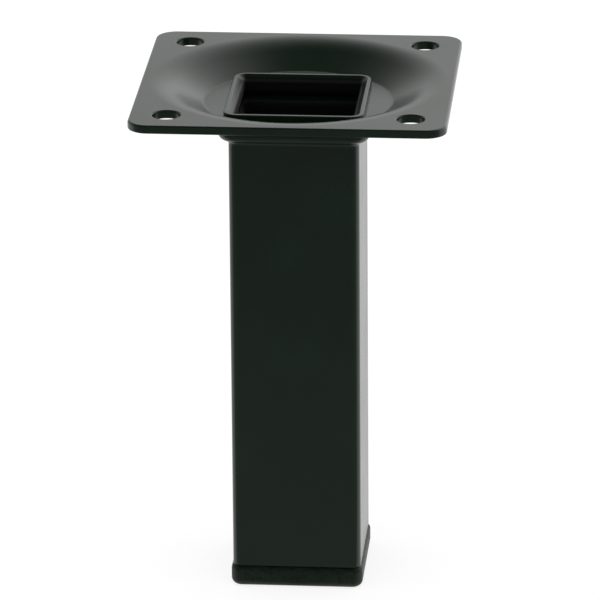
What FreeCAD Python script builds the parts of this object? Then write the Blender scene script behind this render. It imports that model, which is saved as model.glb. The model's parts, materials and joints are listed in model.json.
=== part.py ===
import FreeCAD, Part
import math
import os

# Square furniture leg: a pressed mounting plate, a square steel tube whose upper end is upset
# below the plate and turned over inside its dish, and a plastic foot cap pushed into the tube.
# Millimetres. The origin is the middle of the foot's underside, with +Z up.

Vector = FreeCAD.Vector

# Whole leg
leg_height = 100.0

# Square tube
tube_size = 25.0
tube_wall = 1.2
tube_inner_corner_radius = 0.6

# Lip of the tube, turned out over the floor of the dish, with a slope down into the tube
lip_projection = 0.9
lip_bend_radius = 0.05
lip_edge_radius = 0.25
lip_slope_width = 1.3
lip_slope_edge_radius = 0.15

# Bulge of the tube, folded out under the dish
bulge_projection = 2.0
bulge_slope = 20.0
bulge_root_radius = 0.9
bulge_fold_radius = 0.15
bulge_neck_radius = 0.3

# Mounting plate
plate_size = 60.0
plate_thickness = 1.6
plate_corner_radius = 4.0
plate_top_edge_radius = 0.45
plate_bottom_edge_radius = 0.25

# Round dish pressed into the plate
dish_depth = 4.2
dish_floor_margin = 0.05
dish_rim_margin = 1.6
dish_floor_bend_radius = 1.2
dish_wall_straight = 5.4
tube_hole_clearance = 0.1
tube_hole_edge_radius = 0.4

# Screw holes of the plate
screw_hole_diameter = 5.3
screw_hole_inset = 7.0
screw_hole_edge_radius = 0.3

# Foot cap
cap_head_height = 4.3
cap_overhang = 0.35
cap_floor_thickness = 2.5
cap_bottom_edge_radius = 1.3
cap_top_edge_radius = 1.1

# Plug of the foot cap, with gripping fins
plug_length = 14.0
plug_wall = 1.5
plug_inner_corner_radius = 1.0
plug_lead_in = 0.8
fin_count = 3
fin_spacing = 3.6
fin_first_height = 2.2
fin_projection = 0.75
fin_land = 0.4
fin_taper = 1.2
fin_clearance = 0.05

# Places worked out from the sizes above
tube_half = tube_size / 2
tube_outer_corner_radius = tube_inner_corner_radius + tube_wall
tube_flat_half = tube_half - tube_outer_corner_radius
plate_half = plate_size / 2
floor_top = leg_height - dish_depth
floor_underside = floor_top - plate_thickness
lip_corner_reach = tube_flat_half * math.sqrt(2) + tube_outer_corner_radius + lip_projection
dish_floor_radius = lip_corner_reach + dish_floor_margin
dish_wall_run = plate_half - dish_rim_margin - dish_floor_radius


def bent_strip(start, heading, steps, thickness):
    """Face in the XZ plane of a strip of even thickness, bent along its centre line.

    A step is either a straight length, or a pair of inside radius and angle for a bend,
    where a positive angle turns to the left.
    """
    place = Vector(start[0], 0, start[1])
    direction = math.radians(heading)
    left_edges = []
    right_edges = []

    def aside(point, angle, distance):
        return point + Vector(-math.sin(angle), 0, math.cos(angle)) * distance

    first_place = place
    first_direction = direction
    for step in steps:
        if isinstance(step, tuple):
            inside_radius, degrees = step
            side = math.copysign(1.0, degrees)
            radius = side * (inside_radius + thickness / 2)
            centre = aside(place, direction, radius)
            middle_direction = direction + math.radians(degrees) / 2
            new_direction = direction + math.radians(degrees)
            middle = aside(centre, middle_direction, -radius)
            new_place = aside(centre, new_direction, -radius)
            for edges, offset in ((left_edges, thickness / 2), (right_edges, -thickness / 2)):
                arc = Part.Arc(
                    aside(place, direction, offset),
                    aside(middle, middle_direction, offset),
                    aside(new_place, new_direction, offset),
                )
                edges.append(arc.toShape())
            direction = new_direction
        else:
            new_place = place + Vector(math.cos(direction), 0, math.sin(direction)) * step
            for edges, offset in ((left_edges, thickness / 2), (right_edges, -thickness / 2)):
                edges.append(Part.makeLine(aside(place, direction, offset), aside(new_place, direction, offset)))
        place = new_place

    first_end = Part.makeLine(
        aside(first_place, first_direction, -thickness / 2), aside(first_place, first_direction, thickness / 2)
    )
    last_end = Part.makeLine(
        aside(place, direction, thickness / 2), aside(place, direction, -thickness / 2)
    )
    outline = left_edges + [last_end] + right_edges[::-1] + [first_end]
    return Part.Face(Part.Wire(Part.sortEdges(outline)[0]))


def around_square(section, flat_half):
    """Ring that carries a section of the XZ plane round a square with rounded corners."""
    up = Vector(0, 0, 1)
    side = section.translated(Vector(0, -flat_half, 0)).extrude(Vector(0, 2 * flat_half, 0))
    corner = section.translated(Vector(0, flat_half, 0)).revolve(Vector(flat_half, flat_half, 0), up, 90)
    stretches = []
    for quarter in range(4):
        for stretch in (side, corner):
            stretches.append(stretch.rotated(Vector(0, 0, 0), up, 90 * quarter))
    return stretches[0].multiFuse(stretches[1:]).removeSplitter()


def rounded_block(width, corner_radius, bottom, top):
    """Upright square block with rounded vertical corners."""
    block = Part.makeBox(width, width, top - bottom, Vector(-width / 2, -width / 2, bottom))
    upright = [edge for edge in block.Edges if edge.BoundBox.ZLength > (top - bottom) / 2]
    return block.makeFillet(corner_radius, upright)


def square_edges(shape, height, half_width):
    """Level edges of a shape that run round a square of a half width at a height."""
    found = []
    for edge in shape.Edges:
        level = all(abs(vertex.Z - height) < 1e-4 for vertex in edge.Vertexes)
        on_square = all(abs(max(abs(v.X), abs(v.Y)) - half_width) < 1e-4 for v in edge.Vertexes)
        if level and on_square:
            found.append(edge)
    return found


def ring_edges(shape, height, radius):
    """Level round edges of a shape that have a radius and lie at a height."""
    found = []
    for edge in shape.Edges:
        level = abs(edge.BoundBox.ZMin - height) < 1e-4 and edge.BoundBox.ZLength < 1e-4
        if level and abs(getattr(edge.Curve, "Radius", 0) - radius) < 1e-4:
            found.append(edge)
    return found


def dish_wall():
    """Angle in degrees of the dish wall, and the inside radius of the wide bend up to the flat rim."""
    bends = (dish_depth**2 + dish_wall_run**2 - dish_wall_straight**2) / (2 * dish_depth)
    angle = math.atan2(dish_wall_run, bends - dish_depth) - math.atan2(dish_wall_straight, bends)
    return math.degrees(angle), bends - dish_floor_bend_radius - plate_thickness


def mounting_plate():
    """Square sheet with a round dish, four screw holes and a square hole for the tube."""
    angle, rim_bend_radius = dish_wall()
    section = bent_strip(
        (0, floor_top - plate_thickness / 2),
        0,
        [
            dish_floor_radius,
            (dish_floor_bend_radius, angle),
            dish_wall_straight,
            (rim_bend_radius, -angle),
            plate_size,
        ],
        plate_thickness,
    )
    sheet = section.revolve(Vector(0, 0, 0), Vector(0, 0, 1), 360)
    outline = rounded_block(plate_size, plate_corner_radius, floor_underside - 1, leg_height + 1)
    plate = sheet.common(outline).removeSplitter()

    rim_underside = leg_height - plate_thickness
    plate = plate.makeFillet(plate_top_edge_radius, square_edges(plate, leg_height, plate_half))
    plate = plate.makeFillet(plate_bottom_edge_radius, square_edges(plate, rim_underside, plate_half))

    hole_place = plate_half - screw_hole_inset
    for x_side in (-1, 1):
        for y_side in (-1, 1):
            foot = Vector(x_side * hole_place, y_side * hole_place, rim_underside - 1)
            plate = plate.cut(Part.makeCylinder(screw_hole_diameter / 2, plate_thickness + 2, foot))
    hole_rings = ring_edges(plate, leg_height, screw_hole_diameter / 2)
    plate = plate.makeFillet(screw_hole_edge_radius, hole_rings)

    tube_hole = rounded_block(
        tube_size + 2 * tube_hole_clearance,
        tube_outer_corner_radius + tube_hole_clearance,
        floor_underside - 1,
        floor_top + 1,
    )
    plate = plate.cut(tube_hole)
    hole_half = tube_half + tube_hole_clearance
    hole_edges = square_edges(plate, floor_top, hole_half) + square_edges(plate, floor_underside, hole_half)
    return plate.makeFillet(tube_hole_edge_radius, hole_edges)


def square_tube():
    """Tube with its wall folded out under the plate and turned over above it."""
    half_wall = tube_wall / 2
    slope = math.radians(bulge_slope)
    root = bulge_root_radius + half_wall
    fold = bulge_fold_radius + half_wall
    neck = bulge_neck_radius + half_wall
    lip = lip_bend_radius + half_wall

    # The lower flank reaches the bulge's projection, and the upper flank comes back to the tube's face
    root_run = root * (1 - math.sin(slope))
    lower_flank = (bulge_projection - root_run - fold * (1 - math.sin(slope))) / math.cos(slope)
    upper_flank = root_run + lower_flank * math.cos(slope) - fold * math.sin(slope) - neck
    bulge_rise = root * math.cos(slope) + lower_flank * math.sin(slope) + fold * (1 + math.cos(slope))

    bulge_start = floor_underside - half_wall - bulge_rise
    through_plate = (floor_top + half_wall - lip) - (floor_underside - half_wall + neck)
    lip_straight = lip_projection + half_wall - lip
    section = bent_strip(
        (tube_half - half_wall, cap_head_height),
        90,
        [
            bulge_start - cap_head_height,
            (bulge_root_radius, bulge_slope - 90),
            lower_flank,
            (bulge_fold_radius, 180 - bulge_slope),
            upper_flank,
            (bulge_neck_radius, -90),
            through_plate,
            (lip_bend_radius, -90),
            lip_straight,
        ],
        tube_wall,
    )
    # The lip's bend is cut down inside to an even slope of 45 degrees
    inner_face = tube_half - tube_wall
    lip_top = floor_top + tube_wall
    reach = lip_slope_width + tube_wall
    slope_corners = [
        Vector(inner_face - tube_wall, 0, lip_top - reach),
        Vector(inner_face + reach, 0, lip_top + tube_wall),
        Vector(inner_face - tube_wall, 0, lip_top + tube_wall),
    ]
    section = section.cut(Part.Face(Part.makePolygon(slope_corners + slope_corners[:1]))).Faces[0]

    tube = around_square(section, tube_flat_half)
    tube = tube.makeFillet(lip_edge_radius, square_edges(tube, lip_top, tube_half + lip_projection))
    slope_edges = square_edges(tube, lip_top, inner_face + lip_slope_width)
    slope_edges += square_edges(tube, lip_top - lip_slope_width, inner_face)
    return tube.makeFillet(lip_slope_edge_radius, slope_edges)


def plug_section(inner_face, outer_face, fin_face, bottom, top):
    """Face in the XZ plane of the plug's wall, with fins that taper towards the top."""
    points = [Vector(inner_face, 0, bottom), Vector(outer_face, 0, bottom)]
    for number in range(fin_count):
        foot = cap_head_height + fin_first_height + number * fin_spacing
        points.append(Vector(outer_face, 0, foot))
        points.append(Vector(fin_face, 0, foot))
        points.append(Vector(fin_face, 0, foot + fin_land))
        points.append(Vector(outer_face, 0, foot + fin_land + fin_taper))
    points.append(Vector(outer_face, 0, top - plug_lead_in))
    points.append(Vector(outer_face - plug_lead_in / 2, 0, top))
    points.append(Vector(inner_face, 0, top))
    return Part.Face(Part.makePolygon(points + points[:1]))


def foot_cap():
    """Plastic foot with a hollow, finned plug that fills the lower end of the tube."""
    head_size = tube_size + 2 * cap_overhang
    head = rounded_block(head_size, tube_outer_corner_radius + cap_overhang, 0, cap_head_height)
    head = head.makeFillet(cap_bottom_edge_radius, square_edges(head, 0, head_size / 2))
    head = head.makeFillet(cap_top_edge_radius, square_edges(head, cap_head_height, head_size / 2))

    fin_face = tube_half - tube_wall - fin_clearance
    outer_face = fin_face - fin_projection
    inner_face = outer_face - plug_wall
    hollow = rounded_block(2 * inner_face, plug_inner_corner_radius, cap_floor_thickness, cap_head_height + 1)
    head = head.cut(hollow)

    section = plug_section(inner_face, outer_face, fin_face, cap_head_height, cap_head_height + plug_length)
    plug = around_square(section, inner_face - plug_inner_corner_radius)
    return head.fuse(plug).removeSplitter()


def main():
    os.makedirs("parts", exist_ok=True)
    pieces = {
        "mounting_plate": mounting_plate(),
        "square_tube": square_tube(),
        "foot_cap": foot_cap(),
    }
    for name, shape in pieces.items():
        shape.exportStep("parts/" + name + ".step")


if __name__ == "__main__":
    main()
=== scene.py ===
import json
import math

import bmesh
import bpy
from bpy.props import FloatProperty, FloatVectorProperty, IntProperty, PointerProperty
from mathutils import Matrix, Vector
from mathutils.geometry import delaunay_2d_cdt


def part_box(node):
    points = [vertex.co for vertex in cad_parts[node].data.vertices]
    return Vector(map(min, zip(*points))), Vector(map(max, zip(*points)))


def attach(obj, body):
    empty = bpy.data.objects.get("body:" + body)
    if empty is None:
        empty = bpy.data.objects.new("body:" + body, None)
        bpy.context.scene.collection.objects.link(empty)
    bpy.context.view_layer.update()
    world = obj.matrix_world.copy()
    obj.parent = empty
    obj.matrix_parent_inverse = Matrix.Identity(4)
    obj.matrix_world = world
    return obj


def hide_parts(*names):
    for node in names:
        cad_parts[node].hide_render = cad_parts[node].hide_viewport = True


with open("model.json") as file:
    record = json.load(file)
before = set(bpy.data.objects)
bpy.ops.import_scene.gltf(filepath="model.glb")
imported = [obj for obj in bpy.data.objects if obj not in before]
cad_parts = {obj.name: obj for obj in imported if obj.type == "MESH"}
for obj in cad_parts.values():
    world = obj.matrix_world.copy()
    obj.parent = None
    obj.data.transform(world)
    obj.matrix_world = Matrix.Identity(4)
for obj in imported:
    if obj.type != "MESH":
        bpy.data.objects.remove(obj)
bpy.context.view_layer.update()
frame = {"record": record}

bl_info = {
    "name": "Square table leg",
    "version": (1, 0, 0),
    "blender": (4, 5, 0),
    "location": "View3D > Sidebar > Table leg",
    "description": "Builds a square steel furniture leg with its mounting plate and foot cap",
    "category": "Add Mesh",
}

MM = 0.001
BODY = "root"

# Boxes of the solids that the pieces stand for, and the pattern of the screw holes
plate_low, plate_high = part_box("mounting_plate")
tube_low, tube_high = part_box("square_tube")
cap_low, cap_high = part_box("foot_cap")
screw_pattern = next(m for m in frame["record"]["mounts"] if m["name"] == "plate_screw_holes")["dims"]

# Fineness of the meshes, and how near points are before they count as one
BEND_STEP = math.radians(4.5)
CORNER_STEPS = 12
DISH_STEPS = 192
SCREW_HOLE_STEPS = 48
SUPPORT = 0.1 * MM
SHARP_ANGLE = math.radians(40)
JOIN_DISTANCE = 0.001 * MM
SAME_PLACE_MM = 1e-6

# Range that holds most values of a noise, and the levels of finer detail in each noise
NOISE_LOW = 0.3
NOISE_HIGH = 0.7
PATCH_DETAIL = 3.0
SPECK_DETAIL = 2.0
RIPPLE_DETAIL = 1.0
GRAIN_DETAIL = 2.0

# Turns of the coat's pattern, so that it isn't the same on both pieces
PLATE_COAT_TURN = 1.1
TUBE_COAT_TURN = 0.4

# Places before the leg's axis between which the reflected floor fades, and how far its bands bend forward
# for each metre to the side
FLOOR_FRONT_FADE = (-250 * MM, -20 * MM)
FLOOR_BACK_FADE = (-16 * MM, -11 * MM)
FLOOR_BAND_BEND = 0.15

# Parts of a unit direction between which the reflected studio fades: up, up, back and to the right
OVERHEAD_FADE = (0.2, 1.0)
HORIZON_FADE = (0.0, 0.3)
FRONT_FADE = (-0.3, 0.3)
LEFT_FADE = (-0.6, 0.0)

# Nearest and farthest things that the camera sees, in metres
CAMERA_NEAR = 0.05
CAMERA_FAR = 50.0


def length(name, description, default):
    """Property for a size of the leg, in metres."""
    return FloatProperty(
        name=name,
        description=description,
        default=default,
        min=0.0,
        unit="LENGTH",
        subtype="DISTANCE",
        precision=5,
    )


def angle(name, description, degrees):
    """Property for an angle, shown in degrees."""
    return FloatProperty(
        name=name, description=description, default=math.radians(degrees), unit="ROTATION", subtype="ANGLE"
    )


def share(name, description, default):
    """Property for a number between nothing and one."""
    return FloatProperty(
        name=name, description=description, default=default, min=0.0, max=1.0, subtype="FACTOR"
    )


def colour(name, description, default):
    """Property for a colour, in linear values."""
    return FloatVectorProperty(
        name=name,
        description=description,
        default=default,
        size=3,
        min=0.0,
        max=1.0,
        subtype="COLOR",
        precision=4,
    )


class TubeSizes(bpy.types.PropertyGroup):
    """Sizes of the square tube with its turned-over lip and its bulge."""

    side: length("Side", "Outer width of the tube", 25 * MM)
    wall: length("Wall", "Thickness of the tube's wall", 1.2 * MM)
    inner_corner_radius: length("Inner corner radius", "Radius of the corners inside the tube", 0.6 * MM)
    lip_projection: length("Lip projection", "How far the lip stands out over the dish's floor", 0.9 * MM)
    lip_bend_radius: length("Lip bend radius", "Inside radius of the bend of the lip", 0.05 * MM)
    lip_edge_radius: length("Lip edge radius", "Rounding of the lip's upper edge", 0.25 * MM)
    lip_slope_width: length("Lip slope width", "Width of the slope down into the tube", 1.3 * MM)
    lip_slope_edge_radius: length("Lip slope edge radius", "Rounding of the slope's edges", 0.15 * MM)
    bulge_slope: angle("Bulge slope", "Rise of the bulge's lower flank", 20)
    bulge_root_radius: length("Bulge root radius", "Inside radius at the foot of the bulge", 0.9 * MM)
    bulge_fold_radius: length("Bulge fold radius", "Inside radius of the bulge's outer fold", 0.15 * MM)
    bulge_neck_radius: length("Bulge neck radius", "Inside radius at the top of the bulge", 0.3 * MM)
    cut_edge_radius: length("Cut edge radius", "Rounding of the tube's sawn and sheared edges", 0.1 * MM)


class PlateSizes(bpy.types.PropertyGroup):
    """Sizes of the mounting plate with its pressed dish."""

    side: length("Side", "Length of the plate's sides", plate_high.x - plate_low.x)
    thickness: length("Thickness", "Thickness of the sheet", 1.6 * MM)
    corner_radius: length("Corner radius", "Radius of the plate's corners", 4.0 * MM)
    upper_edge_radius: length("Upper edge radius", "Rounding of the plate's upper edge", 0.45 * MM)
    lower_edge_radius: length("Lower edge radius", "Rounding of the plate's lower edge", 0.25 * MM)
    dish_floor_margin: length("Dish floor margin", "Room on the floor round the lip's corners", 0.05 * MM)
    dish_rim_margin: length("Dish rim margin", "Flat between the dish and the middle of a side", 1.6 * MM)
    dish_floor_bend: length("Floor bend radius", "Inside radius between floor and wall", 1.2 * MM)
    dish_wall_straight: length("Dish wall straight", "Straight part of the wall between bends", 5.4 * MM)
    tube_hole_clearance: length("Tube hole clearance", "Gap between the tube and its hole", 0.1 * MM)
    tube_hole_edge_radius: length("Tube hole edge radius", "Rounding of the tube hole's edges", 0.4 * MM)
    screw_hole_diameter: length(
        "Screw hole diameter", "Diameter of the screw holes", 2 * screw_pattern["hole_r_mm"] * MM
    )
    screw_hole_spacing: length(
        "Screw hole spacing", "Distance between screw holes", screw_pattern["spacing_x_mm"] * MM
    )
    screw_hole_edge_radius: length("Screw hole edge radius", "Rounding of the holes' upper edges", 0.3 * MM)
    screw_hole_burr_radius: length("Screw hole lower edge", "Rounding of the holes' lower edges", 0.1 * MM)


class CapSizes(bpy.types.PropertyGroup):
    """Sizes of the plastic foot cap with its finned plug."""

    side: length("Side", "Width of the cap's head", cap_high.x - cap_low.x)
    head_height: length("Head height", "Height of the head below the tube", tube_low.z - cap_low.z)
    bottom_edge_radius: length("Bottom edge radius", "Rounding of the edge on the floor", 1.3 * MM)
    top_edge_radius: length("Top edge radius", "Rounding of the edge beside the tube", 1.1 * MM)
    floor_thickness: length("Floor thickness", "Thickness of the cap's floor", 2.5 * MM)
    plug_length: length("Plug length", "Length of the plug inside the tube", cap_high.z - tube_low.z)
    plug_wall: length("Plug wall", "Thickness of the plug's wall", 1.5 * MM)
    plug_inner_corner_radius: length("Plug inner corner radius", "Radius of its hollow's corners", 1.0 * MM)
    plug_lead_in: length("Plug lead-in", "Height of the slope at the plug's end", 0.8 * MM)
    fin_count: IntProperty(name="Fins", description="Number of gripping fins", default=3, min=1)
    fin_spacing: length("Fin spacing", "Distance from one fin to the next", 3.6 * MM)
    fin_first_height: length("First fin height", "Height of the first fin above the head", 2.2 * MM)
    fin_projection: length("Fin projection", "How far a fin stands out of the plug", 0.75 * MM)
    fin_land: length("Fin land", "Height of a fin's outer face", 0.4 * MM)
    fin_taper: length("Fin taper", "Height of the slope above a fin", 1.2 * MM)
    fin_clearance: length("Fin clearance", "Gap between the fins and the tube", 0.05 * MM)


class LegFinishes(bpy.types.PropertyGroup):
    """Colours and textures of the coat and the plastic."""

    coat_colour: colour("Coat colour", "Colour of the satin powder coat", (0.0016, 0.0086, 0.0032))
    coat_roughness: share("Coat roughness", "Middle roughness of the powder coat", 0.24)
    # Painted shade: near-black colour on the tube's inner faces, where shade falls inside the tube
    inside_shade_colour: colour("Painted inside shade", "Painted shade colour on the tube's inner faces", (0.0006, 0.0008, 0.0007))
    inside_roughness: share("Inside roughness", "Roughness of the tube's inner faces", 0.95)
    patch_size: length("Patch size", "Width of the patches in the powder coat", 14 * MM)
    patch_tint: share("Patch tint", "How much darker or lighter a patch can be", 0.2)
    patch_dullness: share("Patch dullness", "How much rougher or smoother a patch can be", 0.015)
    speck_size: length("Speck size", "Width of the specks in the powder coat", 0.25 * MM)
    speck_dullness: share("Speck dullness", "How much rougher or smoother a speck can be", 0.02)
    peel_size: length("Peel size", "Width of the ripples in the powder coat", 0.9 * MM)
    peel_height: length("Peel height", "Height of the ripples in the powder coat", 0.002 * MM)
    plastic_colour: colour("Plastic colour", "Colour of the moulded plastic", (0.0010, 0.0085, 0.0018))
    plastic_index: FloatProperty(
        name="Plastic index", description="Refractive index of the moulded plastic", default=1.36, min=1.0
    )
    plastic_roughness: share("Plastic roughness", "Middle roughness of the moulded plastic", 0.5)
    grain_size: length("Grain size", "Width of the moulded grain", 0.6 * MM)
    grain_height: length("Grain height", "Height of the moulded grain", 0.03 * MM)
    grain_tint: share("Grain tint", "How much darker or lighter the grain can be", 0.7)
    grain_dullness: share("Grain dullness", "How much rougher or smoother the grain can be", 0.12)


class StageSettings(bpy.types.PropertyGroup):
    """Camera, floor and light."""

    azimuth: angle("Azimuth", "Turn of the camera round the leg", 4.733)
    elevation: angle("Elevation", "Height of the camera above the horizon", 19.966)
    roll: angle("Roll", "Lean of the camera", -0.433)
    distance: length("Distance", "Distance from the camera to the leg", 1.1)
    aim_side: length("Aim to the side", "Place across the leg that the camera looks at", 0.052 * MM)
    aim_height: length("Aim height", "Height that the camera looks at", 55.115 * MM)
    focal_length: FloatProperty(
        name="Focal length", description="Focal length of the lens", default=340.1, unit="CAMERA", min=1.0
    )
    floor_size: length("Floor size", "Width of the floor", 8.0)
    floor_drop: length("Floor drop", "Gap between the floor and the foot", 0.02 * MM)
    floor_grey: share("Floor grey", "Grey of the floor where light falls on it", 0.25)
    floor_fill: share("Floor fill", "White that the floor adds to its lit colour", 0.8)
    floor_far_light: share("Far front floor", "Reflected brightness of the floor far before the leg", 0.16)
    floor_front_light: share("Front floor", "Reflected brightness of the floor near the leg's front", 0.28)
    floor_back_light: share("Back floor", "Reflected brightness of the floor behind the leg", 1.0)
    overhead_light: share("Overhead light", "Brightness of the studio straight above the leg", 0.09)
    horizon_light: share("Horizon light", "Brightness of the studio level with the leg", 0.75)
    front_light: share("Front light", "Share of the studio's brightness left on the camera's side", 0.25)
    left_light: share("Left light", "Share of the studio's brightness left on the far left", 0.72)
    panel_light: share("Panel light", "Brightness of the soft panel on the right", 0.75)
    panel_side: FloatVectorProperty(
        name="Panel side",
        description="Direction of the soft panel",
        default=(0.7, 0.6, 0.45),
        subtype="DIRECTION",
    )
    panel_width: angle("Panel width", "Angle between the middle of the soft panel and its faded edge", 55)


def sideways(heading):
    """Unit vector to the left of a heading."""
    return Vector((-math.sin(heading), math.cos(heading)))


def forward(heading):
    """Unit vector along a heading."""
    return Vector((math.cos(heading), math.sin(heading)))


def bent_sides(start, heading, steps, thickness):
    """Points on the left and right sides of a strip that is bent along its centre line.

    A step is either a straight length, or a pair of inside radius and turn for a bend,
    where a positive turn goes to the left. Each bend has a support point before and after it.
    """
    place = Vector(start)
    left = []
    right = []

    def mark(spot, direction):
        left.append(spot + sideways(direction) * thickness / 2)
        right.append(spot - sideways(direction) * thickness / 2)

    for step in steps:
        if not isinstance(step, tuple):
            place = place + forward(heading) * step
            continue
        inside_radius, turn = step
        radius = math.copysign(inside_radius + thickness / 2, turn)
        centre = place + sideways(heading) * radius
        mark(place - forward(heading) * SUPPORT, heading)
        count = math.ceil(abs(turn) / BEND_STEP)
        for number in range(count + 1):
            direction = heading + turn * number / count
            mark(centre - sideways(direction) * radius, direction)
        heading += turn
        place = centre - sideways(heading) * radius
        mark(place + forward(heading) * SUPPORT, heading)
    return left, right


def rounded_end(first_corner, second_corner, along, first_radius, second_radius):
    """Points round the end of a strip, from one corner to the other, with both corners rounded."""
    across = (second_corner - first_corner).normalized()
    first_centre = first_corner + (across - along) * first_radius
    second_centre = second_corner - (across + along) * second_radius
    count = math.ceil(math.pi / 2 / BEND_STEP)
    first_arc = []
    second_arc = []
    for number in range(count + 1):
        turn = math.pi / 2 * number / count
        first_way = along * math.sin(turn) - across * math.cos(turn)
        second_way = along * math.cos(turn) + across * math.sin(turn)
        first_arc.append(first_centre + first_way * first_radius)
        second_arc.append(second_centre + second_way * second_radius)
    face = [first_arc[-1] + across * SUPPORT, second_arc[0] - across * SUPPORT]
    before = [first_arc[0] - along * SUPPORT]
    after = [second_arc[-1] - along * SUPPORT]
    return before + first_arc + face + second_arc + after


def square_loop(flat_half, reach, height):
    """Points round a level square with rounded corners, with support points beside its corners."""
    radius = reach - flat_half
    points = []
    for quarter in range(4):
        turned = Matrix.Rotation(quarter * math.pi / 2, 3, "Z")
        points.append(turned @ Vector((reach, flat_half - SUPPORT, height)))
        for number in range(CORNER_STEPS + 1):
            spot = forward(math.pi / 2 * number / CORNER_STEPS) * radius
            points.append(turned @ Vector((flat_half + spot.x, flat_half + spot.y, height)))
        points.append(turned @ Vector((flat_half - SUPPORT, reach, height)))
    return points


def round_loop(radius, height, count, centre=(0.0, 0.0)):
    """Points round a level circle."""
    points = []
    for number in range(count):
        spot = forward(2 * math.pi * number / count) * radius
        points.append(Vector((centre[0] + spot.x, centre[1] + spot.y, height)))
    return points


def add_loop(skin, points):
    """Vertices of a closed loop of points."""
    return [skin.verts.new(point) for point in points]


def bridge(skin, first, second):
    """Faces between two loops with the same number of vertices."""
    for number in range(len(first)):
        after = (number + 1) % len(first)
        skin.faces.new((first[number], first[after], second[after], second[number]))


def add_skin(skin, loops):
    """Skin over a row of loops, which gives back the vertices of its first and last loop."""
    rows = [add_loop(skin, points) for points in loops]
    for first, second in zip(rows, rows[1:]):
        bridge(skin, first, second)
    return rows[0], rows[-1]


def fill_flat(skin, outline, holes=()):
    """Level faces inside an outline of vertices and round its holes."""
    loops = [outline, *holes]
    corners = [corner for loop in loops for corner in loop]
    places = [corner.co.to_2d() / MM for corner in corners]
    borders = []
    for loop in loops:
        first = sum(len(border) for border in borders)
        borders.append(list(range(first, first + len(loop))))
    inside_with_holes = 2
    _, _, faces, sources, _, _ = delaunay_2d_cdt(places, [], borders, inside_with_holes, SAME_PLACE_MM)
    for face in faces:
        skin.faces.new([corners[sources[number][0]] for number in face])


def new_piece(name, skin=None):
    """Empty mesh object, or one with a skin, in the scene."""
    mesh = bpy.data.meshes.new(name)
    if skin is not None:
        skin.to_mesh(mesh)
        skin.free()
    piece = bpy.data.objects.new(name, mesh)
    bpy.context.scene.collection.objects.link(piece)
    return piece


def new_line(name, points, closed):
    """Curve object of straight runs through points, used as a path or a section."""
    curve = bpy.data.curves.new(name, "CURVE")
    curve.dimensions = "3D"
    spline = curve.splines.new("POLY")
    spline.points.add(len(points) - 1)
    for place, point in zip(spline.points, points):
        place.co = (*point, 1.0)
    spline.use_cyclic_u = closed
    line = bpy.data.objects.new(name, curve)
    bpy.context.scene.collection.objects.link(line)
    return line


def section_line(name, points, closed):
    """Section for a sweep, from points given as distance outwards and height.

    A sweep lays a section's second axis downwards, so the heights change sign.
    """
    return new_line(name, [Vector((point[0], -point[1], 0.0)) for point in points], closed)


def new_tree(name, sizes):
    """Geometry node tree with a mesh going in and out and with named inputs."""
    tree = bpy.data.node_groups.new(name, "GeometryNodeTree")
    tree.interface.new_socket("Geometry", in_out="INPUT", socket_type="NodeSocketGeometry")
    for label, kind in sizes.items():
        tree.interface.new_socket(label, in_out="INPUT", socket_type="NodeSocket" + kind)
    tree.interface.new_socket("Geometry", in_out="OUTPUT", socket_type="NodeSocketGeometry")
    return tree


def add_node(tree, kind, inputs=None, **settings):
    """Node with settings, whose inputs are set to values or linked to outputs."""
    node = tree.nodes.new(kind)
    for name, value in settings.items():
        setattr(node, name, value)
    for name, value in (inputs or {}).items():
        if isinstance(value, bpy.types.NodeSocket):
            tree.links.new(value, node.inputs[name])
        else:
            node.inputs[name].default_value = value
    return node


def add_sweep(tree, path, section):
    """Mesh of a section carried round a path."""
    profile = add_node(tree, "GeometryNodeObjectInfo", {"Object": section})
    upright = add_node(tree, "GeometryNodeSetCurveNormal", {"Curve": path}, mode="Z_UP")
    swept = {"Curve": upright.outputs["Curve"], "Profile Curve": profile.outputs["Geometry"]}
    return add_node(tree, "GeometryNodeCurveToMesh", swept).outputs["Mesh"]


def end_tree(tree, given, *geometries):
    """Joins geometries, realizes their instances and gives them the finish."""
    joined = add_node(tree, "GeometryNodeJoinGeometry")
    for geometry in geometries:
        tree.links.new(geometry, joined.inputs["Geometry"])
    realized = add_node(tree, "GeometryNodeRealizeInstances", {"Geometry": joined.outputs["Geometry"]})
    finish = {"Geometry": realized.outputs["Geometry"], "Material": given["Finish"]}
    finished = add_node(tree, "GeometryNodeSetMaterial", finish)
    add_node(tree, "NodeGroupOutput", {"Geometry": finished.outputs["Geometry"]})


def sweep_tree():
    """Tree that carries a section once round a path."""
    tree = new_tree("Section round a path", {"Section": "Object", "Path": "Object", "Finish": "Material"})
    given = add_node(tree, "NodeGroupInput").outputs
    path = add_node(tree, "GeometryNodeObjectInfo", {"Object": given["Path"]})
    ring = add_sweep(tree, path.outputs["Geometry"], given["Section"])
    end_tree(tree, given, given["Geometry"], ring)
    return tree


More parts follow.
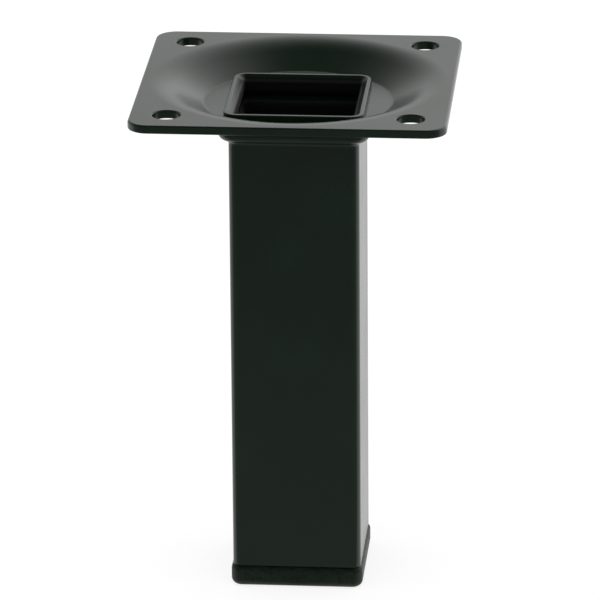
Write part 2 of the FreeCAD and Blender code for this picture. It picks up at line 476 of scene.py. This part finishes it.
def stacked_rings_tree():
    """Tree that stacks copies of a swept ring at an even spacing."""
    inputs = {
        "Section": "Object",
        "Path": "Object",
        "Count": "Int",
        "First height": "Float",
        "Spacing": "Float",
        "Finish": "Material",
    }
    tree = new_tree("Rings up a plug", inputs)
    given = add_node(tree, "NodeGroupInput").outputs
    path = add_node(tree, "GeometryNodeObjectInfo", {"Object": given["Path"]})
    ring = add_sweep(tree, path.outputs["Geometry"], given["Section"])
    start = add_node(tree, "ShaderNodeCombineXYZ", {"Z": given["First height"]})
    offset = add_node(tree, "ShaderNodeCombineXYZ", {"Z": given["Spacing"]})
    line = {
        "Count": given["Count"],
        "Start Location": start.outputs["Vector"],
        "Offset": offset.outputs["Vector"],
    }
    places = add_node(tree, "GeometryNodeMeshLine", line)
    copies = {"Points": places.outputs["Mesh"], "Instance": ring}
    rings = add_node(tree, "GeometryNodeInstanceOnPoints", copies)
    end_tree(tree, given, given["Geometry"], rings.outputs["Instances"])
    return tree


def hole_rims_tree():
    """Tree that sets a swept rim at each corner of a square."""
    inputs = {
        "Section": "Object",
        "Hole radius": "Float",
        "Hole steps": "Int",
        "Spacing": "Float",
        "Height": "Float",
        "Finish": "Material",
    }
    tree = new_tree("Rims of the screw holes", inputs)
    given = add_node(tree, "NodeGroupInput").outputs
    circle = {"Resolution": given["Hole steps"], "Radius": given["Hole radius"]}
    path = add_node(tree, "GeometryNodeCurvePrimitiveCircle", circle)
    rim = add_sweep(tree, path.outputs["Curve"], given["Section"])
    square = {"Size X": given["Spacing"], "Size Y": given["Spacing"], "Vertices X": 2, "Vertices Y": 2}
    corners = add_node(tree, "GeometryNodeMeshGrid", square)
    rise = add_node(tree, "ShaderNodeCombineXYZ", {"Z": given["Height"]})
    raised = {"Geometry": corners.outputs["Mesh"], "Offset": rise.outputs["Vector"]}
    places = add_node(tree, "GeometryNodeSetPosition", raised)
    copies = {"Points": places.outputs["Geometry"], "Instance": rim}
    rims = add_node(tree, "GeometryNodeInstanceOnPoints", copies)
    end_tree(tree, given, given["Geometry"], rims.outputs["Instances"])
    return tree


def shape_piece(piece, tree, values):
    """Turns a piece into the plain mesh that a node tree makes of it, and removes the tree's helpers."""
    modifier = piece.modifiers.new(tree.name, "NODES")
    modifier.node_group = tree
    for socket in tree.interface.items_tree:
        if socket.in_out == "INPUT" and socket.name in values:
            modifier[socket.identifier] = values[socket.name]
    evaluated = piece.evaluated_get(bpy.context.evaluated_depsgraph_get())
    made = bpy.data.meshes.new_from_object(evaluated)
    piece.modifiers.remove(modifier)
    rough = piece.data
    piece.data = made
    made.name = piece.name
    bpy.data.meshes.remove(rough)
    for helper in values.values():
        if isinstance(helper, bpy.types.Object):
            bpy.data.curves.remove(helper.data)
    if len(made.polygons) == 0:
        raise RuntimeError("The node tree " + tree.name + " made no faces")


def close_skin(piece):
    """Joins the seams of a piece, turns its faces outwards and shades it smoothly."""
    skin = bmesh.new()
    skin.from_mesh(piece.data)
    bmesh.ops.remove_doubles(skin, verts=skin.verts, dist=JOIN_DISTANCE)
    bmesh.ops.recalc_face_normals(skin, faces=skin.faces)
    open_edges = [edge for edge in skin.edges if not edge.is_manifold]
    if open_edges:
        raise RuntimeError(piece.name + " has " + str(len(open_edges)) + " open edges")
    for face in skin.faces:
        face.smooth = True
    skin.to_mesh(piece.data)
    skin.free()
    piece.data.set_sharp_from_angle(angle=SHARP_ANGLE)


def seat(piece, node):
    """Hands a finished piece to the frame in place of a solid."""
    close_skin(piece)
    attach(piece, BODY)
    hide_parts(node)


def noise(tree, place, size, detail):
    """Noise whose features are about as wide as a size."""
    texture = add_node(tree, "ShaderNodeTexNoise", {"Vector": place, "Scale": 1.0 / size, "Detail": detail})
    return texture.outputs["Fac"]


def spread(tree, value, low, high):
    """Noise stretched to the range between two numbers."""
    limits = {"Value": value, "From Min": NOISE_LOW, "From Max": NOISE_HIGH, "To Min": low, "To Max": high}
    return add_node(tree, "ShaderNodeMapRange", limits).outputs["Result"]


def fade(tree, value, low, high, from_level, to_level):
    """Level that goes smoothly from one brightness to another as a value goes from low to high."""
    limits = {"Value": value, "From Min": low, "From Max": high, "To Min": from_level, "To Max": to_level}
    return add_node(tree, "ShaderNodeMapRange", limits, interpolation_type="SMOOTHSTEP").outputs["Result"]


def combine(tree, operation, first, second):
    """Sum, product or larger one of two levels."""
    return add_node(tree, "ShaderNodeMath", {0: first, 1: second}, operation=operation).outputs["Value"]


def combine_vectors(tree, operation, *values):
    """Vector made from one or two vectors, or a number for their length or dot product."""
    node = add_node(tree, "ShaderNodeVectorMath", dict(enumerate(values)), operation=operation)
    return node.outputs["Value" if operation in ("LENGTH", "DOT_PRODUCT") else "Vector"]


def blend(tree, kind, factor, first, second):
    """Number or colour that goes from a first one to a second one with a factor.

    The node's sockets for numbers and for colours have the same names, so they are picked by their places.
    """
    first_input, second_input, output = {"FLOAT": (2, 3, 0), "RGBA": (6, 7, 2)}[kind]
    values = {0: factor, first_input: first, second_input: second}
    return add_node(tree, "ShaderNodeMix", values, data_type=kind).outputs[output]


def tint(tree, value, colour, depth):
    """Colour that gets darker and lighter by a share with a noise."""
    dark = (*(channel * (1.0 - depth) for channel in colour), 1.0)
    light = (*(channel * (1.0 + depth) for channel in colour), 1.0)
    return blend(tree, "RGBA", spread(tree, value, 0.0, 1.0), dark, light)


def finish_surface(tree, shader, base, rough, height, distance):
    """Links a colour, a roughness and a bumpy surface to a shader."""
    bump = add_node(tree, "ShaderNodeBump", {"Height": height, "Distance": distance, "Strength": 1.0})
    tree.links.new(base, shader.inputs["Base Color"])
    tree.links.new(rough, shader.inputs["Roughness"])
    tree.links.new(bump.outputs["Normal"], shader.inputs["Normal"])


def new_finish(name):
    """Material with its shader and the place on the piece that its textures follow."""
    material = bpy.data.materials.new(name)
    material.use_nodes = True
    tree = material.node_tree
    place = add_node(tree, "ShaderNodeTexCoord").outputs["Object"]
    return material, tree, tree.nodes["Principled BSDF"], place


def inside_tube(tree, place, tube):
    """Shares of painted shade colour and of inside roughness on the tube.

    Both are one on its inner faces, where the painted shade stands for the shade inside the tube. The
    painted shade fades out up the lip's slope, and the roughness sooner.
    """
    flat_half = tube_flat_half(tube)
    level = combine_vectors(tree, "MULTIPLY", place, (1.0, 1.0, 0.0))
    folded = combine_vectors(tree, "ABSOLUTE", level)
    beyond = combine_vectors(tree, "SUBTRACT", folded, (flat_half, flat_half, 0.0))
    corner = combine_vectors(tree, "MAXIMUM", beyond, (0.0, 0.0, 0.0))
    reach = combine_vectors(tree, "LENGTH", corner)
    inner = tube.inner_corner_radius
    # Painted shade: near-black on the inner faces, fading out up the lip's slope
    dark = fade(tree, reach, inner, inner + tube.lip_slope_width, 1.0, 0.0)
    dull = fade(tree, reach, inner, inner + tube.wall / 2, 1.0, 0.0)
    return dark, dull


def powder_coat(name, finishes, turn, tube=None):
    """Satin powder coat: fine ripples and specks, with patches that differ a little in colour and gloss.

    Where a tube is given, its inner faces get painted shade, a near-black colour, and a higher roughness.
    """
    material, tree, shader, place = new_finish(name)
    turning = {"Vector": place, "Rotation": (0.0, 0.0, turn)}
    turned = add_node(tree, "ShaderNodeMapping", turning).outputs["Vector"]
    patches = noise(tree, turned, finishes.patch_size, PATCH_DETAIL)
    specks = noise(tree, turned, finishes.speck_size, SPECK_DETAIL)
    ripples = noise(tree, turned, finishes.peel_size, RIPPLE_DETAIL)

    base = tint(tree, patches, finishes.coat_colour, finishes.patch_tint)
    middle = finishes.coat_roughness
    uneven = spread(tree, patches, middle - finishes.patch_dullness, middle + finishes.patch_dullness)
    speckled = spread(tree, specks, -finishes.speck_dullness, finishes.speck_dullness)
    rough = combine(tree, "ADD", uneven, speckled)
    if tube:
        # Painted shade: the tube's inner faces turn near-black where shade falls inside the tube, and they
        # are rougher
        dark, dull = inside_tube(tree, place, tube)
        base = blend(tree, "RGBA", dark, base, (*finishes.inside_shade_colour, 1.0))
        rough = blend(tree, "FLOAT", dull, rough, finishes.inside_roughness)
    finish_surface(tree, shader, base, rough, ripples, finishes.peel_height)
    return material


def moulded_plastic(name, finishes):
    """Black plastic with the fine grain of its mould, which differs in colour and gloss."""
    material, tree, shader, place = new_finish(name)
    grain = noise(tree, place, finishes.grain_size, GRAIN_DETAIL)

    base = tint(tree, grain, finishes.plastic_colour, finishes.grain_tint)
    middle = finishes.plastic_roughness
    rough = spread(tree, grain, middle - finishes.grain_dullness, middle + finishes.grain_dullness)
    shader.inputs["IOR"].default_value = finishes.plastic_index
    finish_surface(tree, shader, base, rough, grain, finishes.grain_height)
    return material


def tube_flat_half(tube):
    """Half of the flat between the tube's rounded corners."""
    return tube.side / 2 - tube.inner_corner_radius - tube.wall


def inside_with_slope(inside, tube, lip_top):
    """Inner line of the tube's wall, whose last bend is cut down to a slope with rounded edges."""
    slope_turn = -math.pi / 4
    rounding = tube.lip_slope_edge_radius * math.tan(-slope_turn / 2)
    slope_foot = lip_top - tube.lip_slope_width - rounding
    kept = [point for point in inside if point.y < slope_foot - 2 * SUPPORT]
    steps = [
        slope_foot - kept[-1].y,
        (tube.lip_slope_edge_radius, slope_turn),
        tube.lip_slope_width * math.sqrt(2) - 2 * rounding,
        (tube.lip_slope_edge_radius, slope_turn),
    ]
    slope, _ = bent_sides(kept[-1], math.pi / 2, steps, 0.0)
    return kept + slope


def tube_section(tube, floor_top, floor_underside):
    """Closed section of the tube's wall, as distance from the tube's axis and height."""
    half_wall = tube.wall / 2
    slope = tube.bulge_slope
    upright = math.pi / 2
    root = tube.bulge_root_radius + half_wall
    fold = tube.bulge_fold_radius + half_wall
    neck = tube.bulge_neck_radius + half_wall
    lip = tube.lip_bend_radius + half_wall
    bulge_projection = tube_high.x - tube.side / 2

    root_run = root * (1 - math.sin(slope))
    lower_flank = (bulge_projection - root_run - fold * (1 - math.sin(slope))) / math.cos(slope)
    upper_flank = root_run + lower_flank * math.cos(slope) - fold * math.sin(slope) - neck
    bulge_rise = root * math.cos(slope) + lower_flank * math.sin(slope) + fold * (1 + math.cos(slope))
    bulge_start = floor_underside - half_wall - bulge_rise
    through_plate = (floor_top + half_wall - lip) - (floor_underside - half_wall + neck)
    lip_straight = tube.lip_projection + half_wall - lip

    middle = tube.side / 2 - half_wall
    steps = [
        bulge_start - tube_low.z,
        (tube.bulge_root_radius, slope - upright),
        lower_flank,
        (tube.bulge_fold_radius, math.pi - slope),
        upper_flank,
        (tube.bulge_neck_radius, -upright),
        through_plate,
        (tube.lip_bend_radius, -upright),
        lip_straight,
    ]
    inside, outside = bent_sides((middle, tube_low.z), upright, steps, tube.wall)
    inside = inside_with_slope(inside, tube, floor_top + tube.wall)
    lip_reach = tube.side / 2 + tube.lip_projection
    lip_end = rounded_end(
        Vector((lip_reach, floor_top)),
        Vector((lip_reach, floor_top + tube.wall)),
        Vector((1.0, 0.0)),
        tube.cut_edge_radius,
        tube.lip_edge_radius,
    )
    lower_end = rounded_end(
        Vector((tube.side / 2 - tube.wall, tube_low.z)),
        Vector((tube.side / 2, tube_low.z)),
        Vector((0.0, -1.0)),
        tube.cut_edge_radius,
        tube.cut_edge_radius,
    )
    return outside + lip_end + inside[::-1] + lower_end


def make_tube(settings):
    """Square tube, made by carrying its section round a square with rounded corners."""
    tube = settings.tube
    floor_underside = plate_low.z
    floor_top = floor_underside + settings.plate.thickness
    half = tube.side / 2
    section = [point - Vector((half, 0.0)) for point in tube_section(tube, floor_top, floor_underside)]
    piece = new_piece("square_tube_coated")
    values = {
        "Section": section_line("tube section", section, closed=True),
        "Path": new_line("tube path", square_loop(tube_flat_half(tube), half, 0.0), closed=True),
        "Finish": powder_coat("Tube powder coat", settings.finishes, TUBE_COAT_TURN, tube),
    }
    shape_piece(piece, sweep_tree(), values)
    seat(piece, "square_tube")


def dish_steps(plate, floor_radius, depth):
    """Bends and straights of the dish from its middle to the flat rim.

    The bend at the rim is as wide as the depth and the room beside the dish's floor make it.
    """
    straight = plate.dish_wall_straight
    run = plate.side / 2 - plate.dish_rim_margin - floor_radius
    both_radii = (depth**2 + run**2 - straight**2) / (2 * depth)
    turn = math.atan2(run, both_radii - depth) - math.atan2(straight, both_radii)
    rim_bend = both_radii - plate.dish_floor_bend - plate.thickness
    return [floor_radius, (plate.dish_floor_bend, turn), straight, (rim_bend, -turn)]


def make_plate(settings):
    """Mounting plate: a skin over both sides of the pressed sheet, with a rim set into each screw hole."""
    plate = settings.plate
    tube = settings.tube
    rim_top = plate_high.z
    rim_underside = rim_top - plate.thickness
    floor_underside = plate_low.z
    floor_top = floor_underside + plate.thickness

    flat_half = tube_flat_half(tube)
    lip_corner = flat_half * math.sqrt(2) + tube.side / 2 - flat_half + tube.lip_projection
    steps = dish_steps(plate, lip_corner + plate.dish_floor_margin, rim_top - floor_top)
    upper, under = bent_sides((0.0, floor_top - plate.thickness / 2), 0.0, steps, plate.thickness)

    skin = bmesh.new()
    dish_floor, dish_rim = add_skin(skin, [round_loop(point.x, point.y, DISH_STEPS) for point in upper])
    under_floor, under_rim = add_skin(skin, [round_loop(point.x, point.y, DISH_STEPS) for point in under])

    plate_half = plate.side / 2
    outer_edge = rounded_end(
        Vector((plate_half, rim_top)),
        Vector((plate_half, rim_underside)),
        Vector((1.0, 0.0)),
        plate.upper_edge_radius,
        plate.lower_edge_radius,
    )
    plate_flat_half = plate_half - plate.corner_radius
    edge_loops = [square_loop(plate_flat_half, point.x, point.y) for point in outer_edge]
    edge_top, edge_underside = add_skin(skin, edge_loops)

    hole_half = tube.side / 2 + plate.tube_hole_clearance
    hole_edge = rounded_end(
        Vector((hole_half, floor_top)),
        Vector((hole_half, floor_underside)),
        Vector((-1.0, 0.0)),
        plate.tube_hole_edge_radius,
        plate.tube_hole_edge_radius,
    )
    hole_loops = [square_loop(flat_half, point.x, point.y) for point in hole_edge]
    hole_top, hole_underside = add_skin(skin, hole_loops)

    screw_radius = plate.screw_hole_diameter / 2
    screw_edge = rounded_end(
        Vector((screw_radius, rim_top)),
        Vector((screw_radius, rim_underside)),
        Vector((-1.0, 0.0)),
        plate.screw_hole_edge_radius,
        plate.screw_hole_burr_radius,
    )
    place = plate.screw_hole_spacing / 2
    top_rims = []
    under_rims = []
    for centre in ((-place, -place), (place, -place), (place, place), (-place, place)):
        for rims, point in ((top_rims, screw_edge[0]), (under_rims, screw_edge[-1])):
            rims.append(add_loop(skin, round_loop(point.x, point.y, SCREW_HOLE_STEPS, centre)))

    fill_flat(skin, edge_top, [dish_rim, *top_rims])
    fill_flat(skin, edge_underside, [under_rim, *under_rims])
    fill_flat(skin, dish_floor, [hole_top])
    fill_flat(skin, under_floor, [hole_underside])

    piece = new_piece("mounting_plate_coated", skin)
    rim_section = [point - Vector((screw_radius, rim_top)) for point in screw_edge]
    values = {
        "Section": section_line("screw hole section", rim_section, closed=False),
        "Hole radius": screw_radius,
        "Hole steps": SCREW_HOLE_STEPS,
        "Spacing": plate.screw_hole_spacing,
        "Height": rim_top,
        "Finish": powder_coat("Plate powder coat", settings.finishes, PLATE_COAT_TURN),
    }
    shape_piece(piece, hole_rims_tree(), values)
    seat(piece, "mounting_plate")


def make_cap(settings):
    """Foot cap: a moulded head and hollow plug, with a ring for each gripping fin."""
    cap = settings.cap
    tube = settings.tube
    head_top = cap_low.z + cap.head_height
    plug_top = head_top + cap.plug_length
    head_half = cap.side / 2
    head_flat_half = tube_flat_half(tube)
    fin_face = tube.side / 2 - tube.wall - cap.fin_clearance
    plug_face = fin_face - cap.fin_projection
    hollow_face = plug_face - cap.plug_wall
    plug_flat_half = hollow_face - cap.plug_inner_corner_radius
    first_fin = head_top + cap.fin_first_height
    last_fin_end = first_fin + cap.fin_count * cap.fin_spacing
    hollow_floor = cap_low.z + cap.floor_thickness

    skin = bmesh.new()
    head_edge = rounded_end(
        Vector((head_half, cap_low.z)),
        Vector((head_half, head_top)),
        Vector((1.0, 0.0)),
        cap.bottom_edge_radius,
        cap.top_edge_radius,
    )
    head_loops = [square_loop(head_flat_half, point.x, point.y) for point in head_edge]
    plug_foot = [square_loop(plug_flat_half, plug_face, height) for height in (head_top, first_fin)]
    underside, _ = add_skin(skin, head_loops + plug_foot)
    fill_flat(skin, underside)

    lead_in_face = plug_face - cap.plug_lead_in / 2
    plug_end = [
        (plug_face, last_fin_end),
        (plug_face, plug_top - cap.plug_lead_in),
        (lead_in_face, plug_top),
        (hollow_face, plug_top),
        (hollow_face, hollow_floor),
    ]
    plug_loops = [square_loop(plug_flat_half, reach, height) for reach, height in plug_end]
    _, floor_edge = add_skin(skin, plug_loops)
    fill_flat(skin, floor_edge)

    piece = new_piece("foot_cap_moulded", skin)
    fin_section = [
        (0.0, 0.0),
        (cap.fin_projection, 0.0),
        (cap.fin_projection, cap.fin_land),
        (0.0, cap.fin_land + cap.fin_taper),
        (0.0, cap.fin_spacing),
    ]
    values = {
        "Section": section_line("fin section", fin_section, closed=False),
        "Path": new_line("plug path", square_loop(plug_flat_half, plug_face, 0.0), closed=True),
        "Count": cap.fin_count,
        "First height": first_fin,
        "Spacing": cap.fin_spacing,
        "Finish": moulded_plastic("Moulded plastic", settings.finishes),
    }
    shape_piece(piece, stacked_rings_tree(), values)
    seat(piece, "foot_cap")


def floor_finish(stage):
    """White floor that keeps the leg's shadow. Reflections see it dimmer before the leg than behind it."""
    material = bpy.data.materials.new("Studio floor")
    material.use_nodes = True
    tree = material.node_tree
    tree.nodes.clear()
    ray = add_node(tree, "ShaderNodeLightPath").outputs
    grey = (stage.floor_grey,) * 3 + (1.0,)
    lit = add_node(tree, "ShaderNodeBsdfDiffuse", {"Color": grey}).outputs["BSDF"]
    fill = add_node(tree, "ShaderNodeEmission", {"Strength": stage.floor_fill}).outputs["Emission"]
    white = add_node(tree, "ShaderNodeAddShader", {0: lit, 1: fill}).outputs["Shader"]

    place = add_node(tree, "ShaderNodeTexCoord").outputs["Object"]
    parts = add_node(tree, "ShaderNodeSeparateXYZ", {"Vector": place}).outputs
    aside = add_node(tree, "ShaderNodeMath", {0: parts["X"]}, operation="ABSOLUTE").outputs["Value"]
    depth = combine(tree, "ADD", parts["Y"], combine(tree, "MULTIPLY", aside, FLOOR_BAND_BEND))
    front = fade(tree, depth, *FLOOR_FRONT_FADE, stage.floor_far_light, stage.floor_front_light)
    back = fade(tree, depth, *FLOOR_BACK_FADE, 0.0, stage.floor_back_light)
    level = combine(tree, "MAXIMUM", front, back)
    mirrored = add_node(tree, "ShaderNodeEmission", {"Strength": level}).outputs["Emission"]
    seen = {0: ray["Is Glossy Ray"], 1: white, 2: mirrored}
    above = add_node(tree, "ShaderNodeMixShader", seen).outputs["Shader"]

    underside = add_node(tree, "ShaderNodeNewGeometry").outputs["Backfacing"]
    clear = add_node(tree, "ShaderNodeBsdfTransparent").outputs["BSDF"]
    both = add_node(tree, "ShaderNodeMixShader", {0: underside, 1: above, 2: clear}).outputs["Shader"]
    add_node(tree, "ShaderNodeOutputMaterial", {"Surface": both})
    return material


def studio_world(stage):
    """Even white studio, which reflections see otherwise.

    They see it darker overhead, at the horizon, in front and on the left, with a soft panel on the right.
    """
    world = bpy.data.worlds.new("Studio")
    world.use_nodes = True
    tree = world.node_tree
    tree.nodes.clear()
    direction = add_node(tree, "ShaderNodeTexCoord").outputs["Generated"]
    parts = add_node(tree, "ShaderNodeSeparateXYZ", {"Vector": direction}).outputs
    rise = fade(tree, parts["Z"], *OVERHEAD_FADE, 1.0, stage.overhead_light)
    low = fade(tree, parts["Z"], *HORIZON_FADE, stage.horizon_light, 1.0)
    depth = fade(tree, parts["Y"], *FRONT_FADE, stage.front_light, 1.0)
    across = fade(tree, parts["X"], *LEFT_FADE, stage.left_light, 1.0)
    height = combine(tree, "MULTIPLY", rise, low)
    backdrop = combine(tree, "MULTIPLY", combine(tree, "MULTIPLY", height, depth), across)

    panel_side = Vector(stage.panel_side).normalized()
    nearness = combine_vectors(tree, "DOT_PRODUCT", direction, panel_side)
    panel = fade(tree, nearness, math.cos(stage.panel_width), 1.0, 0.0, stage.panel_light)

    level = combine(tree, "ADD", backdrop, panel)
    ray = add_node(tree, "ShaderNodeLightPath").outputs
    shown = blend(tree, "FLOAT", ray["Is Glossy Ray"], 1.0, level)
    light = add_node(tree, "ShaderNodeBackground", {"Strength": shown, "Color": (1.0, 1.0, 1.0, 1.0)})
    add_node(tree, "ShaderNodeOutputWorld", {"Surface": light.outputs["Background"]})
    return world


def make_camera(stage):
    """Camera that looks at the leg from a little to its right and above."""
    back = Vector(
        (
            math.sin(stage.azimuth) * math.cos(stage.elevation),
            -math.cos(stage.azimuth) * math.cos(stage.elevation),
            math.sin(stage.elevation),
        )
    )
    right = Vector((math.cos(stage.azimuth), math.sin(stage.azimuth), 0.0))
    upright = Matrix((right, back.cross(right), back)).transposed().to_4x4()
    aim = Vector((stage.aim_side, 0.0, stage.aim_height))
    lens = bpy.data.cameras.new("Camera")
    lens.lens = stage.focal_length
    lens.clip_start = CAMERA_NEAR
    lens.clip_end = CAMERA_FAR
    camera = bpy.data.objects.new("Camera", lens)
    bpy.context.scene.collection.objects.link(camera)
    lean = Matrix.Rotation(stage.roll, 4, "Z")
    camera.matrix_world = Matrix.Translation(aim + back * stage.distance) @ upright @ lean
    bpy.context.scene.camera = camera


def make_stage(settings):
    """Floor, studio light and camera."""
    stage = settings.stage
    scene = bpy.context.scene
    half = stage.floor_size / 2
    skin = bmesh.new()
    corners = [(-half, -half), (half, -half), (half, half), (-half, half)]
    skin.faces.new([skin.verts.new((x, y, cap_low.z - stage.floor_drop)) for x, y in corners])
    floor = new_piece("studio_floor", skin)
    floor.data.materials.append(floor_finish(stage))
    scene.world = studio_world(stage)
    scene.view_settings.view_transform = "Standard"
    make_camera(stage)


class LegSettings(bpy.types.PropertyGroup):
    """All the settings of the leg and its stage."""

    tube: PointerProperty(type=TubeSizes, name="Tube", description="Sizes of the tube")
    plate: PointerProperty(type=PlateSizes, name="Plate", description="Sizes of the mounting plate")
    cap: PointerProperty(type=CapSizes, name="Cap", description="Sizes of the foot cap")
    finishes: PointerProperty(type=LegFinishes, name="Finishes", description="Coat and plastic")
    stage: PointerProperty(type=StageSettings, name="Stage", description="Camera, floor and light")


class LEG_OT_make_plate(bpy.types.Operator):
    """Make the mounting plate with its dish and screw holes"""

    bl_idname = "table_leg.make_plate"
    bl_label = "Make mounting plate"

    def execute(self, context):
        make_plate(context.scene.table_leg)
        return {"FINISHED"}


class LEG_OT_make_tube(bpy.types.Operator):
    """Make the square tube with its lip and bulge"""

    bl_idname = "table_leg.make_tube"
    bl_label = "Make square tube"

    def execute(self, context):
        make_tube(context.scene.table_leg)
        return {"FINISHED"}


class LEG_OT_make_cap(bpy.types.Operator):
    """Make the plastic foot cap with its finned plug"""

    bl_idname = "table_leg.make_cap"
    bl_label = "Make foot cap"

    def execute(self, context):
        make_cap(context.scene.table_leg)
        return {"FINISHED"}


class LEG_OT_make_stage(bpy.types.Operator):
    """Make the floor, the studio light and the camera"""

    bl_idname = "table_leg.make_stage"
    bl_label = "Make stage"

    def execute(self, context):
        make_stage(context.scene.table_leg)
        return {"FINISHED"}


class LEG_PT_builder(bpy.types.Panel):
    """Sidebar panel with the leg's settings and operators"""

    bl_idname = "LEG_PT_builder"
    bl_label = "Square table leg"
    bl_space_type = "VIEW_3D"
    bl_region_type = "UI"
    bl_category = "Table leg"

    def draw(self, context):
        settings = context.scene.table_leg
        groups = (
            (settings.plate, LEG_OT_make_plate),
            (settings.tube, LEG_OT_make_tube),
            (settings.cap, LEG_OT_make_cap),
            (settings.finishes, None),
            (settings.stage, LEG_OT_make_stage),
        )
        for group, operator in groups:
            box = self.layout.box()
            for name in group.__annotations__:
                box.prop(group, name)
            if operator is not None:
                box.operator(operator.bl_idname)


CLASSES = (
    TubeSizes,
    PlateSizes,
    CapSizes,
    LegFinishes,
    StageSettings,
    LegSettings,
    LEG_OT_make_plate,
    LEG_OT_make_tube,
    LEG_OT_make_cap,
    LEG_OT_make_stage,
    LEG_PT_builder,
)


def register():
    for cls in CLASSES:
        bpy.utils.register_class(cls)
    bpy.types.Scene.table_leg = PointerProperty(type=LegSettings)


def unregister():
    del bpy.types.Scene.table_leg
    for cls in reversed(CLASSES):
        bpy.utils.unregister_class(cls)


def main():
    register()
    bpy.ops.table_leg.make_plate()
    bpy.ops.table_leg.make_tube()
    bpy.ops.table_leg.make_cap()
    bpy.ops.table_leg.make_stage()


if __name__ == "__main__":
    main()
